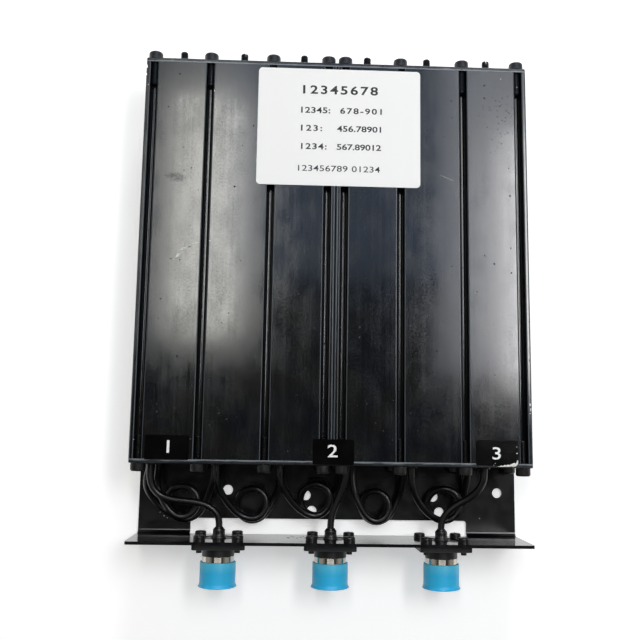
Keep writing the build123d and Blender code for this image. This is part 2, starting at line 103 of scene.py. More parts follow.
def ringSolid(name, rings, around, closed=False):
    # rings run along Y as (y, radius) in mm, and a radius may be a function of the angle
    bm = bmesh.new()
    loops = []
    for y, radius in rings:
        loop = []
        for step in range(around):
            angle = 2 * math.pi * step / around
            r = radius(angle) if callable(radius) else radius
            place = (r * mm * math.cos(angle), y * mm, r * mm * math.sin(angle))
            loop.append(bm.verts.new(place))
        loops.append(loop)
    for lower, upper in zip(loops, loops[1:]):
        bridge(bm, lower, upper)
    if closed:
        bridge(bm, loops[-1], loops[0])
    else:
        bm.faces.new(loops[0])
        bm.faces.new(loops[-1])
    bmesh.ops.recalc_face_normals(bm, faces=bm.faces)
    return smoothed(meshFrom(bm, name))


def placed(mesh, place, turn=(0, 0, 0)):
    rotation = Euler([math.radians(angle) for angle in turn]).to_matrix().to_4x4()
    mesh.transform(Matrix.Translation(place) @ rotation)
    return mesh


def polygonRadius(sides, apothem):
    sector = 2 * math.pi / sides
    return lambda angle: apothem / math.cos(angle % sector - sector / 2)


def roundedSquareRadius(half, corner):
    inner = half - corner

    def radius(angle):
        long, short = sorted((abs(math.cos(angle)), abs(math.sin(angle))), reverse=True)
        if half * short / long <= inner:
            return half / long
        along = inner * (long + short)
        return along + math.sqrt(along ** 2 - 2 * inner ** 2 + corner ** 2)
    return radius


def capped(radius, limit):
    return lambda angle: min(radius(angle), limit)


def linked(name, data):
    holder = bpy.data.objects.new(name, data)
    scene.collection.objects.link(holder)
    return holder


def evaluatedMesh(host):
    bpy.context.view_layer.update()
    graph = bpy.context.evaluated_depsgraph_get()
    return bpy.data.meshes.new_from_object(host.evaluated_get(graph))


def newPiece(name, data, material, body="housing"):
    # a mesh that comes with materials keeps them
    piece = linked(name, data)
    if not data.materials:
        data.materials.append(material)
    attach(piece, body)
    return piece


# Node trees

def findSocket(sockets, key):
    if isinstance(key, int):
        return sockets[key]
    return next(socket for socket in sockets if socket.name == key and socket.enabled)


def addNode(tree, kind, values={}):
    # a value is a node or socket to link, one of the node's own settings, which come first,
    # or what an input is set to
    node = tree.nodes.new(kind)
    for key, value in values.items():
        if isinstance(value, bpy.types.Node):
            value = value.outputs[0]
        if isinstance(value, bpy.types.NodeSocket):
            tree.links.new(value, findSocket(node.inputs, key))
        elif isinstance(key, str) and hasattr(node, key):
            setattr(node, key, value)
        else:
            findSocket(node.inputs, key).default_value = value
    return node


def treeOf(values):
    # the tree that the linked values belong to
    return next(v.id_data for v in values if isinstance(v, bpy.types.NodeSocket))


def maths(operation, *values, clamp=False):
    settings = {"operation": operation, "use_clamp": clamp, **dict(enumerate(values))}
    return addNode(treeOf(values), "ShaderNodeMath", settings).outputs[0]


def vectorOf(**parts):
    return addNode(treeOf(parts.values()), "ShaderNodeCombineXYZ", parts).outputs[0]


def partsOf(vector):
    return addNode(vector.id_data, "ShaderNodeSeparateXYZ", {"Vector": vector}).outputs


def geometryTree(name, inputs):
    tree = bpy.data.node_groups.new(name, "GeometryNodeTree")
    for label, kind in inputs.items():
        tree.interface.new_socket(label, in_out="INPUT", socket_type="NodeSocket" + kind)
    tree.interface.new_socket("Geometry", in_out="OUTPUT", socket_type="NodeSocketGeometry")
    return tree, addNode(tree, "NodeGroupInput").outputs


def endTree(tree, geometry, given):
    # real geometry with its material on it, as the export needs it
    real = addNode(tree, "GeometryNodeRealizeInstances", {"Geometry": geometry})
    dressed = addNode(tree, "GeometryNodeSetMaterial", {
        "Geometry": real, "Material": given["Material"]})
    addNode(tree, "NodeGroupOutput", {"Geometry": dressed})
    return tree


def joined(tree, made, given):
    join = addNode(tree, "GeometryNodeJoinGeometry", {"Geometry": made})
    tree.links.new(given["Geometry"], join.inputs[0])
    return join


def baked(name, base, tree, values):
    # the tree's result on a base mesh, as a plain mesh
    host = linked(name, base)
    modifier = host.modifiers.new("nodes", "NODES")
    modifier.node_group = tree
    for item in tree.interface.items_tree:
        if item.in_out == "INPUT" and item.name in values:
            modifier[item.identifier] = values[item.name]
    host.update_tag()
    result = evaluatedMesh(host)
    host.modifiers.remove(modifier)
    bpy.data.objects.remove(host)
    return smoothed(result)


rodInputs = {"Radius": "Float", "Depth": "Float", "Pitch": "Float", "Length": "Float",
             "Tip Round": "Float", "Around": "Int", "Rings": "Int", "Material": "Material"}


def threadedRod():
    # stands on z = 0, with a right-hand ridge that dies out at both ends and a rounded tip
    tree, given = geometryTree("threadedRod", rodInputs)
    cylinder = addNode(tree, "GeometryNodeMeshCylinder", {
        "Vertices": given["Around"], "Side Segments": given["Rings"],
        "Radius": given["Radius"], "Depth": given["Length"]})
    lift = vectorOf(Z=maths("MULTIPLY", given["Length"], 0.5))
    standing = addNode(tree, "GeometryNodeTransform", {"Geometry": cylinder, "Translation": lift})
    x, y, z = partsOf(addNode(tree, "GeometryNodeInputPosition"))
    turns = maths("DIVIDE", maths("ARCTAN2", y, x), 2 * math.pi)
    climb = maths("SUBTRACT", maths("DIVIDE", z, given["Pitch"]), turns)
    centred = maths("MULTIPLY_ADD", maths("FRACT", climb), 2.0, -1.0)
    valley = maths("SUBTRACT", 1.0, maths("ABSOLUTE", centred))
    fromTip = maths("SUBTRACT", given["Length"], z)
    fromEnds = maths("MINIMUM", z, fromTip)
    runOut = maths("DIVIDE", fromEnds, given["Pitch"], clamp=True)
    groove = maths("MULTIPLY", given["Depth"], maths("MULTIPLY", valley, runOut))
    tipShare = maths("DIVIDE", fromTip, given["Tip Round"])
    along = maths("SUBTRACT", 1.0, tipShare, clamp=True)
    squared = maths("MULTIPLY", along, along)
    arc = maths("SQRT", maths("SUBTRACT", 1.0, squared))
    bevel = maths("MULTIPLY", given["Tip Round"], maths("SUBTRACT", 1.0, arc))
    crest = maths("SUBTRACT", given["Radius"], groove)
    share = maths("DIVIDE", maths("SUBTRACT", crest, bevel), given["Radius"])
    moved = vectorOf(X=maths("MULTIPLY", x, share), Y=maths("MULTIPLY", y, share), Z=z)
    shaped = addNode(tree, "GeometryNodeSetPosition", {"Geometry": standing, "Position": moved})
    return endTree(tree, shaped, given)


def useRod(tree, given, rod):
    links = {key: given[key] for key in rodInputs}
    return addNode(tree, "GeometryNodeGroup", {"node_tree": rod, **links}).outputs["Geometry"]


def headedScrew(rod):
    # the head comes in as geometry seated on y = 0, and the rod is hung below it
    tree, given = geometryTree("headedScrew", {"Geometry": "Geometry", **rodInputs})
    hung = addNode(tree, "GeometryNodeTransform", {
        "Geometry": useRod(tree, given, rod), "Rotation": Euler((math.pi / 2, 0, 0))})
    return endTree(tree, joined(tree, hung, given), given)


def slottedScrew(rod):
    # the rod stands up along +Y from Place, with a slot cut across its tip
    tree, given = geometryTree("slottedScrew", {
        "Geometry": "Geometry", "Place": "Vector", "Turn": "Float",
        "Slot Width": "Float", "Slot Depth": "Float", **rodInputs})
    upright = addNode(tree, "GeometryNodeTransform", {
        "Geometry": useRod(tree, given, rod), "Translation": given["Place"],
        "Rotation": Euler((-math.pi / 2, 0, 0))})
    blade = vectorOf(X=given["Slot Width"], Y=maths("MULTIPLY", given["Slot Depth"], 2.0),
                     Z=maths("MULTIPLY", given["Radius"], 3.0))
    cube = addNode(tree, "GeometryNodeMeshCube", {"Size": blade})
    tip = addNode(tree, "ShaderNodeVectorMath", {
        "operation": "ADD", 0: given["Place"], 1: vectorOf(Y=given["Length"])})
    cutter = addNode(tree, "GeometryNodeTransform", {
        "Geometry": cube, "Translation": tip, "Rotation": vectorOf(Y=given["Turn"])})
    cut = addNode(tree, "GeometryNodeMeshBoolean", {
        "operation": "DIFFERENCE", "solver": "EXACT", "Mesh 1": upright, "Mesh 2": cutter})
    return endTree(tree, joined(tree, cut, given), given)


def spreadOut():
    # one template on every point, each spun about its own axis by chance
    tree, given = geometryTree("spreadOut", {
        "Geometry": "Geometry", "Template": "Object", "Flip": "Float", "Spin": "Float",
        "Seed": "Int", "Material": "Material"})
    source = addNode(tree, "GeometryNodeObjectInfo", {"Object": given["Template"]})
    chance = addNode(tree, "FunctionNodeRandomValue", {
        "data_type": "FLOAT", "Max": given["Spin"], "Seed": given["Seed"]})
    spun = vectorOf(Y=findSocket(chance.outputs, "Value"), Z=given["Flip"])
    turn = addNode(tree, "FunctionNodeEulerToRotation", {"Euler": spun})
    instances = addNode(tree, "GeometryNodeInstanceOnPoints", {
        "Points": given["Geometry"], "Instance": source.outputs["Geometry"], "Rotation": turn})
    return endTree(tree, instances, given)


def spreadOver(name, template, places, material, flip, spin, seed):
    points = bpy.data.meshes.new(name + "Points")
    points.from_pydata([tuple(place) for place in places], [], [])
    holder = linked(name + "Template", template)
    values = {"Template": holder, "Flip": flip, "Spin": spin, "Seed": seed, "Material": material}
    mesh = baked(name, points, spreadTree, values)
    bpy.data.objects.remove(holder)
    return mesh


rodTree = threadedRod()
headedTree = headedScrew(rodTree)
slottedTree = slottedScrew(rodTree)
spreadTree = spreadOut()
print("node trees made")


# Camera, where the photograph was taken from above the front face: mm and degrees

view = {"place": (-20.48, -61.36, 426.17), "turn": (7.830, -2.102, 0.878), "lens": 45.34,
        "sensor": 36, "clipStart": 0.01}
camera = linked("photoCamera", bpy.data.cameras.new("photoCamera"))
camera.data.lens = view["lens"]
camera.data.sensor_width = view["sensor"]
camera.data.clip_start = view["clipStart"]
camera.location = [value * mm for value in view["place"]]
camera.rotation_euler = [math.radians(angle) for angle in view["turn"]]
scene.camera = camera
print("camera placed")


# Materials: sizes, depths and places in mm

def linearColour(hexCode):
    channels = [int(hexCode[i:i + 2], 16) / 255 for i in (0, 2, 4)]
    linear = [c / 12.92 if c <= 0.04045 else ((c + 0.055) / 1.055) ** 2.4 for c in channels]
    return (*linear, 1.0)


def newMaterial(name, colour, roughness, metallic=0.0):
    material = bpy.data.materials.new(name)
    material.use_nodes = True
    tree = material.node_tree
    tree.nodes.clear()
    shader = addNode(tree, "ShaderNodeBsdfPrincipled", {
        "Base Color": linearColour(colour), "Roughness": roughness, "Metallic": metallic})
    addNode(tree, "ShaderNodeOutputMaterial", {"Surface": shader})
    place = addNode(tree, "ShaderNodeTexCoord").outputs["Object"]
    return material, shader, place


def feed(shader, key, source):
    shader.id_data.links.new(source, shader.inputs[key])


def noise(place, size, detail, stretch=(1.0, 1.0, 1.0)):
    # size is one patch, and stretch draws the patches out along an axis
    tree = place.id_data
    scaled = addNode(tree, "ShaderNodeMapping", {
        "Vector": place, "Scale": tuple(1 / s for s in stretch)})
    return addNode(tree, "ShaderNodeTexNoise", {
        "Vector": scaled, "Scale": 1 / (size * mm), "Detail": detail}).outputs["Fac"]


def ranged(value, fromLow, fromHigh, toLow, toHigh):
    return addNode(value.id_data, "ShaderNodeMapRange", {
        "Value": value, "From Min": fromLow, "From Max": fromHigh,
        "To Min": toLow, "To Max": toHigh}).outputs["Result"]


def uneven(place, size, low, high, detail=3.0, stretch=(1.0, 1.0, 1.0), window=(0.3, 0.7)):
    # a value that wanders from low to high over patches of one size
    return ranged(noise(place, size, detail, stretch), *window, low, high)


def mixedColour(factor, *colours):
    # each colour is a hex code or a socket
    first, second = (linearColour(c) if isinstance(c, str) else c for c in colours)
    mix = addNode(factor.id_data, "ShaderNodeMix", {
        "data_type": "RGBA", "Factor": factor, "A": first, "B": second})
    return findSocket(mix.outputs, "Result")


def addGrain(shader, place, size, depth):
    # surface grain of one patch size, raised by depth
    bump = addNode(place.id_data, "ShaderNodeBump", {
        "Height": noise(place, size, 2.0), "Strength": 1.0, "Distance": depth * mm})
    feed(shader, "Normal", bump.outputs["Normal"])


marking = {"depth": 10.0, "fadeFrom": 0.45, "patch": 1.1, "faintest": 0.4, "window": (0.35, 0.6)}


def localMark(place, centre, size, turn, strength):
    # full strength in the middle of an oval on the front face, fading out to its edge
    tree = place.id_data
    local = addNode(tree, "ShaderNodeMapping", {
        "vector_type": "TEXTURE", "Vector": place, "Rotation": (0, 0, math.radians(turn)),
        "Location": (centre[0] * mm, centre[1] * mm, frontFace),
        "Scale": (size[0] * mm, size[1] * mm, marking["depth"] * mm)})
    reach = addNode(tree, "ShaderNodeVectorMath", {"operation": "LENGTH", 0: local})
    oval = ranged(reach.outputs["Value"], 1.0, marking["fadeFrom"], 0.0, 1.0)
    broken = uneven(place, marking["patch"], marking["faintest"], 1.0, window=marking["window"])
    return maths("MULTIPLY", maths("MULTIPLY", oval, broken), strength)


# marks and the smudge: centre, half size, turn and strength
enamel = {
    "roughness": (0.12, 0.185), "cloud": 9.0, "cloudDetail": 5.0,
    "cloudStretch": (1.0, 1.8, 1.0), "cloudWindow": (0.35, 0.65),
    "streak": 1.6, "streakStretch": (1.0, 90.0, 1.0), "streakSpread": 0.018,
    "fine": 0.9, "fineSpread": 0.04, "grain": 1.1, "grainDepth": 0.0016, "ior": 1.58,
    "cells": (4.2, 1.5), "speckFrom": 0.4, "speckReach": 0.13, "speckDulling": 0.5,
    "pitReach": (0.03, 0.21), "pitted": ((82.0, 98.0), (15.0, 26.0), 0, 1.0),
    "smudge": ((-80.8, 63.2), (6.4, 2.8), -8, 0.17),
    "tonePatch": 22.0, "tones": ("0E1116", "131413"), "thin": "B9BBB8",
    "marks": (((-77.2, 23.4), (2.4, 0.9), 38, 0.6), ((-74.0, 27.2), (4.6, 0.6), 24, 0.26),
              ((-69.4, 29.3), (3.4, 0.45), 12, 0.2), ((56.2, 65.9), (4.8, 0.55), -24, 0.34)),
}


def satinEnamel(e):
    # satin black enamel over drawn aluminium: a soft sheen in long faint streaks, cloudy where
    # it lies thin, with small dull specks of dust, pits, and the marks that it has taken
    material, shader, place = newMaterial("satinBlackEnamel", "101215", 0.15)
    shader.inputs["IOR"].default_value = e["ior"]
    streaks = uneven(place, e["streak"], -e["streakSpread"], e["streakSpread"],
                     stretch=e["streakStretch"])
    clouds = uneven(place, e["cloud"], *e["roughness"], e["cloudDetail"], e["cloudStretch"],
                    e["cloudWindow"])
    fine = uneven(place, e["fine"], -e["fineSpread"], e["fineSpread"])
    rough = maths("ADD", maths("ADD", streaks, clouds), fine)
    tree = material.node_tree
    dust, pits = (addNode(tree, "ShaderNodeTexVoronoi", {
        "Vector": place, "Scale": 1 / (cell * mm)}).outputs for cell in e["cells"])
    chosen = addNode(tree, "ShaderNodeSeparateColor", {0: dust["Color"]}).outputs[0]
    reach = ranged(chosen, e["speckFrom"], 1.0, 0.0, e["speckReach"])
    crowded = ranged(localMark(place, *e["pitted"]), 0.0, 1.0, *e["pitReach"])
    specks = maths("MAXIMUM", maths("LESS_THAN", dust["Distance"], reach),
                   maths("LESS_THAN", pits["Distance"], crowded))
    dulled = maths("MAXIMUM", maths("MULTIPLY", specks, e["speckDulling"]),
                   localMark(place, *e["smudge"]))
    feed(shader, "Roughness", maths("ADD", rough, dulled))
    patches = uneven(place, e["tonePatch"], 0.0, 1.0, window=(0.4, 0.6))
    tone = mixedColour(patches, *e["tones"])
    worn = 0.0
    for mark in e["marks"]:
        worn = maths("MAXIMUM", worn, localMark(place, *mark))
    feed(shader, "Base Color", mixedColour(worn, tone, e["thin"]))
    addGrain(shader, place, e["grain"], e["grainDepth"])
    return material


def patchedFinish(name, colour, roughness, patch, spread, detail=3.0, metallic=0.0):
    # one colour, with a roughness that wanders between two offsets from its own
    material, shader, place = newMaterial(name, colour, roughness, metallic)
    low, high = (roughness + offset for offset in spread)
    feed(shader, "Roughness", uneven(place, patch, low, high, detail))
    return material, shader, place


fineGrain = 0.7


def blackFinish(name, colour, roughness, depth=0.01, spread=0.05):
    # black paint, oxide or plastic whose highlight is broken up by a fine grain
    material, shader, place = patchedFinish(name, colour, roughness, patch=9.0, detail=4.0,
                                            spread=(-spread, spread))
    addGrain(shader, place, fineGrain, depth)
    return material


def metalFinish(name, colour, roughness):
    # turned or plated metal, with tool marks that open its highlight
    return patchedFinish(name, colour, roughness, patch=0.7, spread=(-0.05, 0.08), detail=2.0,
                         metallic=1.0)[0]


def paperFilm(name, colour, roughness):
    # printed film, ink or thin paint: flat colour with a faint satin unevenness
    return patchedFinish(name, colour, roughness, patch=6.0, spread=(-0.06, 0.06))[0]


# the rise over which the gloss changes, and its roughness below and above
gloss = {"rise": (1.0, 4.0), "roughness": (0.21, 0.1), "patch": 5.0, "spread": 0.03,
         "grain": 2.0, "grainDepth": 0.002}


def glossSheet(g):
    # gloss black enamel over folded sheet: nearly a mirror on the flange, flatter on the base
    material, shader, place = newMaterial("glossBlackEnamel", "090A0D", 0.2)
    low, high = (backFace + rise * mm for rise in g["rise"])
    rough = ranged(partsOf(place)["Z"], low, high, *g["roughness"])
    patches = uneven(place, g["patch"], -g["spread"], g["spread"], 4.0)
    feed(shader, "Roughness", maths("ADD", rough, patches))
    addGrain(shader, place, g["grain"], g["grainDepth"])
    return material


# the painted highlight line fades out over this reach from the plate's inner face, down to a depth
edgeHighlight = {"reach": (0.35, 0.85), "ragged": 0.35, "patch": 1.0, "stretch": (9.0, 1.0, 1.0),
           "depth": 0.5, "grainDepth": 0.004, "paintedHighlight": "7B8187"}


def plateEnamel(r):
    # black enamel with a fine grain, and a pale painted highlight along the front inner edge, where
    # the rounded edge catches the light
    material, shader, place = patchedFinish("blackPlateEnamel", "15181C", 0.27, patch=9.0,
                                            spread=(-0.05, 0.05), detail=4.0)
    along = partsOf(place)
    edges = (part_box("tuning_end_plate")[0].y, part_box("connector_end_plate")[1].y)
    reaches = [maths("ABSOLUTE", maths("SUBTRACT", along["Y"], edge)) for edge in edges]
    ragged = uneven(place, r["patch"], -r["ragged"] * mm, r["ragged"] * mm, 4.0, r["stretch"])
    reach = maths("ADD", maths("MINIMUM", *reaches), ragged)
    full, none = (value * mm for value in r["reach"])
    atFront = maths("GREATER_THAN", along["Z"], frontFace - r["depth"] * mm)
    highlighted = maths("MULTIPLY", ranged(reach, full, none, 1.0, 0.0), atFront)
    # the pale colour is a painted highlight along the plate's front inner edge
    feed(shader, "Base Color", mixedColour(highlighted, "15181C", r["paintedHighlight"]))
    addGrain(shader, place, fineGrain, r["grainDepth"])
    return material


# where the paint ends below the boss, how ragged its edge is and how soon it ends
portPaint = {"below": 8.2, "ragged": 0.2, "patch": 1.8, "blend": 0.05, "roughness": (0.13, 0.4)}


def paintedNickel(p):
    # bright nickel, and black paint on the flange that ends in a ragged edge on the barrel
    material, shader, place = newMaterial("paintedNickelPlate", "C9C4BA", 0.14)
    edge = bossFace - p["below"] * mm
    ragged = uneven(place, p["patch"], -p["ragged"] * mm, p["ragged"] * mm)
    height = maths("ADD", partsOf(place)["Y"], ragged)
    painted = ranged(height, edge - p["blend"] * mm, edge + p["blend"] * mm, 0.0, 1.0)
    feed(shader, "Base Color", mixedColour(painted, "C9C4BA", "0B0C0E"))
    feed(shader, "Metallic", maths("SUBTRACT", 1.0, painted))
    feed(shader, "Roughness", ranged(painted, 0.0, 1.0, *p["roughness"]))
    return material


# the painted lighter band, for light through the thin wall, starts and is full at these depths
# below the open end
vinyl = {"throughLightBand": (5.0, 1.5), "cloud": 0.4, "patch": 3.5, "weight": 0.3,
         "scatter": (0.3, 1.0, 2.0), "scatterScale": 1.2}


def softVinyl(v):
    # soft translucent blue vinyl: waxy highlight, with a painted lighter band above the thread for
    # light that shows through the empty wall
    material, shader, place = newMaterial("softBlueVinyl", "2CC2FF", 0.38)
    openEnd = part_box("dust_cap_1")[1].y
    low, high = (openEnd - depth * mm for depth in v["throughLightBand"])
    cloud = uneven(place, v["patch"], -v["cloud"] * mm, v["cloud"] * mm)
    height = maths("ADD", partsOf(place)["Y"], cloud)
    throughLightBand = ranged(height, low, high, 0.0, 1.0)
    # the paler colour is painted light showing through the wall above the thread
    feed(shader, "Base Color", mixedColour(throughLightBand, "2CC2FF", "58D0FF"))
    shader.inputs["Subsurface Weight"].default_value = v["weight"]
    shader.inputs["Subsurface Radius"].default_value = v["scatter"]
    shader.inputs["Subsurface Scale"].default_value = v["scatterScale"] * mm
    return material


finishes = {
    "satin": satinEnamel(enamel),
    "plate": plateEnamel(edgeHighlight),
    "sheet": glossSheet(gloss),
    # screws: oxide gives a dull blue-black glint; black zinc stays darker on the connector screws,
    # and on the connector end row it is painted shade for the screws under the plate
    "oxide": blackFinish("blackOxideSteel", "1C2128", 0.3, depth=0.006),
    "blackAndShadedScrew": blackFinish("blackZincAndPaintedShade", "0B0C0E", 0.32, depth=0.006),
    # plastics: a soft line of light along the jackets, and duller sleeves and bushes
    "jacket": blackFinish("blackCableJacket", "08090B", 0.3, depth=0.003),
    "sleeve": blackFinish("blackShrinkSleeve", "0D0E10", 0.34),
    "bush": blackFinish("blackMouldedBush", "101114", 0.45),
    # smooth tape that mirrors more than the enamel under it
    "tape": blackFinish("blackTapeFilm", "050506", 0.13, depth=0.0008, spread=0.02),
    "nickel": paintedNickel(portPaint),
    # a pale colour painted on the rounds as the highlight line that they catch
    "paintedEdgeHighlight": paperFilm("paintedRoundHighlight", "494F55", 0.34),
    "vinyl": softVinyl(vinyl),
    # matt film, ink, bare chips and dark flakes
    "film": paperFilm("whiteSatinFilm", "FBFBF9", 0.45),
    "darkInk": paperFilm("blackPrintInk", "1B1C1F", 0.5),
    "whiteInk": paperFilm("whitePrintInk", "FAFAFA", 0.5),
    "chip": paperFilm("bareChip", "E9E7E1", 0.6),
    "flake": paperFilm("darkFlake", "0D0D0C", 0.6),
    # bare metal, from grey zinc to bright gilt, and the white insulators
    "zinc": metalFinish("zincPlate", "A9ABAD", 0.35),
    "brass": metalFinish("turnedBrass", "C9A864", 0.3),
    "aluminium": metalFinish("turnedAluminium", "C4C5C8", 0.32),
    "silver": metalFinish("silverPlate", "D9D5CE", 0.3),
    "gilt": metalFinish("giltBrass", "DDB867", 0.22),
    "insulator": paperFilm("whiteFluoropolymer", "ECEBE6", 0.5),
}
cadFinishes = {
    "oxide": ["bracket_screws", "rod_screws"],
    "blackAndShadedScrew": ["connector_screws"],
    "bush": ["feed_bushes"],
    "tape": ["port_tag_1", "port_tag_2", "port_tag_3"],
    "film": ["label"],
    "silver": [f"coupling_loop_{number}" for number in everyCavity],
    "aluminium": [f"resonator_rod_{number}" for number in everyCavity],
    "brass": [f"tuning_plunger_{number}" for number in everyCavity],
    "gilt": ["contact_pins"],
    "insulator": ["connector_insulators"],
}
for finish, nodes in cadFinishes.items():
    for node in nodes:
        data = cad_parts[node].data
        data.materials.clear()
        data.materials.append(finishes[finish])
print("materials made")


# Extrusions, end plates and bracket: the CAD forms, cleanly shaded, with a painted highlight on the
# rounds

bodyForms = {
    "left_extrusion": (("satin", "paintedEdgeHighlight"), "black_satin_enamel"),
    "right_extrusion": (("satin", "paintedEdgeHighlight"), "black_satin_enamel"),
    "tuning_end_plate": (("plate",), "black_plate_enamel"),
    "connector_end_plate": (("plate",), "black_plate_enamel"),
    "mounting_bracket": (("sheet",), "black_gloss_sheet"),
}
# a broad face by its area in mm2 and how square it lies, a round by its lean and depth
dressing = {"broadArea": 15.0, "square": 0.999, "lean": (0.15, 0.985), "roundDepth": 1.5,
            "weld": 1e-6, "flatAngle": 1}


def dressedCopy(node, finishKeys, d):
    # broad faces shade flat, and the rounds beside the front face take the second finish, a pale
    # painted highlight
    bm = bmesh.new()
    bm.from_mesh(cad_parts[node].data)
    bmesh.ops.remove_doubles(bm, verts=bm.verts, dist=d["weld"])
    bmesh.ops.dissolve_limit(bm, angle_limit=math.radians(d["flatAngle"]), verts=bm.verts,
                             edges=bm.edges)
    mesh = smoothed(meshFrom(bm, node + "Dressed"))
    low, high = d["lean"]
    for face in mesh.polygons:
        isSquare = max(abs(part) for part in face.normal) > d["square"]
        if isSquare and face.area > d["broadArea"] * mm * mm:
            face.use_smooth = False
        isRound = low < face.normal.z < high
        isNearFront = face.center.z > frontFace - d["roundDepth"] * mm
        # the second finish is the pale painted highlight on the rounds
        face.material_index = int(len(finishKeys) > 1 and isRound and isNearFront)
    for finishKey in finishKeys:
        mesh.materials.append(finishes[finishKey])
    return mesh


for node, (finishKeys, slotName) in bodyForms.items():
    mesh = dressedCopy(node, finishKeys, dressing)
    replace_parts(newPiece(node + "_dressed", mesh, finishes[finishKeys[0]]), node)
print("body forms dressed")


# Cables, by the CAD's points: x, distance above the connector end plate and height, in mm

cord = {"radius": 1.7, "exit": 3.0, "smoothness": 8, "roundness": 5, "order": 3}
bootTop = (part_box("cable_boot_1")[1].y - connectorEnd) / mm
bushFace = (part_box("feed_bushes")[0].y - connectorEnd) / mm
bushPlaces = {
    "stub": (-90.2, 15.0), "lead 1": (-88.5, 23.5), "loop 1 start": (-86.7, 10.0),
    "loop 1 end": (-58.0, 13.0), "loop 2 start": (-56.2, 23.0), "loop 2 end": (-25.0, 11.8),
    "loop 3 start": (-25.1, 23.0), "loop 3 end": (5.1, 11.8), "lead 2": (7.8, 22.5),
    "loop 4 start": (11.7, 11.5), "loop 4 end": (37.3, 11.8), "loop 5 start": (39.8, 23.0),
    "loop 5 end": (70.5, 11.8), "lead 3": (75.4, 26.0),
}


def fromBush(name):
    x, z = bushPlaces[name]
    return (x, bushFace, z), (x, bushFace - cord["exit"], z)


def toBush(name):
    return fromBush(name)[::-1]


def fromBoot(index):
    x = portX[index] / mm
    z = axisHeight / mm
    return (x, bootTop, z), (x, bootTop + cord["exit"], z)


